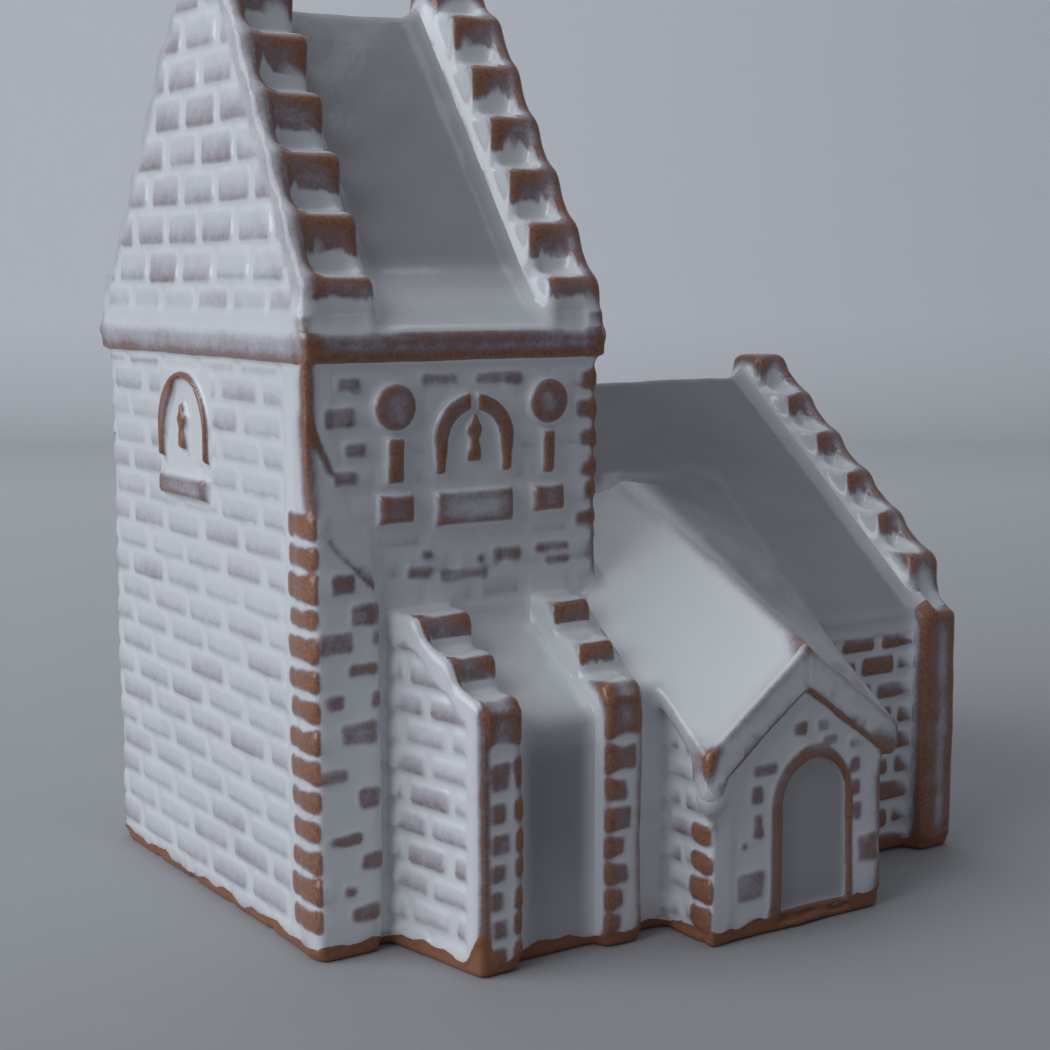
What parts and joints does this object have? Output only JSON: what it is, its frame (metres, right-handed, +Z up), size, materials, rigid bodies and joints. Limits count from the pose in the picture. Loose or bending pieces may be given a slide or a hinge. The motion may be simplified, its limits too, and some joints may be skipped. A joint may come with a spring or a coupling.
{
  "type": "ceramic village church ornament",
  "caption": "Small glazed earthenware village church with a saddleback tower, stepped gables, nave, gabled porch and stair house, open underneath, made to stand on a shelf.",
  "frame": {"origin": "middle of the bounding box's base, on the table", "axes": "+Z up, +X east from the tower along the nave, -Y the side with the porch and the stair house"},
  "size_m": [0.135, 0.1316, 0.1668],
  "materials": {
    "brick_glaze": "white tin glaze over pressed brickwork, thinner and greyer on the brick faces, gloss",
    "plain_glaze": "smooth grey-white tin glaze, satin to gloss",
    "broken_glaze": "thin glaze broken to brown clay on the raised edges, white in the corners, gloss"
  },
  "bodies": {
    "root": {"nave_cap": "broken_glaze", "nave_coping_north": "broken_glaze", "nave_coping_south": "broken_glaze", "nave_east_wall": "brick_glaze", "nave_north_wall": "brick_glaze", "nave_pilaster_north": "brick_glaze", "nave_pilaster_south": "brick_glaze", "nave_roof_north": "plain_glaze", "nave_roof_south": "plain_glaze", "nave_shoulder_north": "brick_glaze", "nave_shoulder_south": "brick_glaze", "nave_south_wall": "brick_glaze", "porch_bargeboard_east": "plain_glaze", "porch_bargeboard_west": "plain_glaze", "porch_door": "plain_glaze", "porch_east_wall": "brick_glaze", "porch_roof_east": "plain_glaze", "porch_roof_west": "plain_glaze", "porch_south_wall": "brick_glaze", "porch_west_wall": "brick_glaze", "stair_east_parapet": "brick_glaze", "stair_front_panel": "plain_glaze", "stair_infill": "plain_glaze", "stair_roof": "plain_glaze", "stair_west_parapet": "brick_glaze", "tower_corner_pier": "brick_glaze", "tower_cornice_east": "broken_glaze", "tower_cornice_north": "broken_glaze", "tower_cornice_south": "broken_glaze", "tower_cornice_west": "broken_glaze", "tower_east_cap": "broken_glaze", "tower_east_coping_north": "broken_glaze", "tower_east_coping_south": "broken_glaze", "tower_east_wall": "brick_glaze", "tower_lancet_east": "broken_glaze", "tower_lancet_east_sill": "broken_glaze", "tower_lancet_west": "broken_glaze", "tower_lancet_west_sill": "broken_glaze", "tower_north_wall": "brick_glaze", "tower_roof_north": "plain_glaze", "tower_roof_south": "plain_glaze", "tower_south_wall": "brick_glaze", "tower_south_window_arch": "broken_glaze", "tower_south_window_mullion": "broken_glaze", "tower_south_window_sill": "broken_glaze", "tower_west_cap": "broken_glaze", "tower_west_coping_north": "broken_glaze", "tower_west_coping_south": "broken_glaze", "tower_west_wall": "brick_glaze", "tower_west_window_arch": "broken_glaze", "tower_west_window_mullion": "broken_glaze", "tower_west_window_sill": "broken_glaze"}
  },
  "joints": []
}
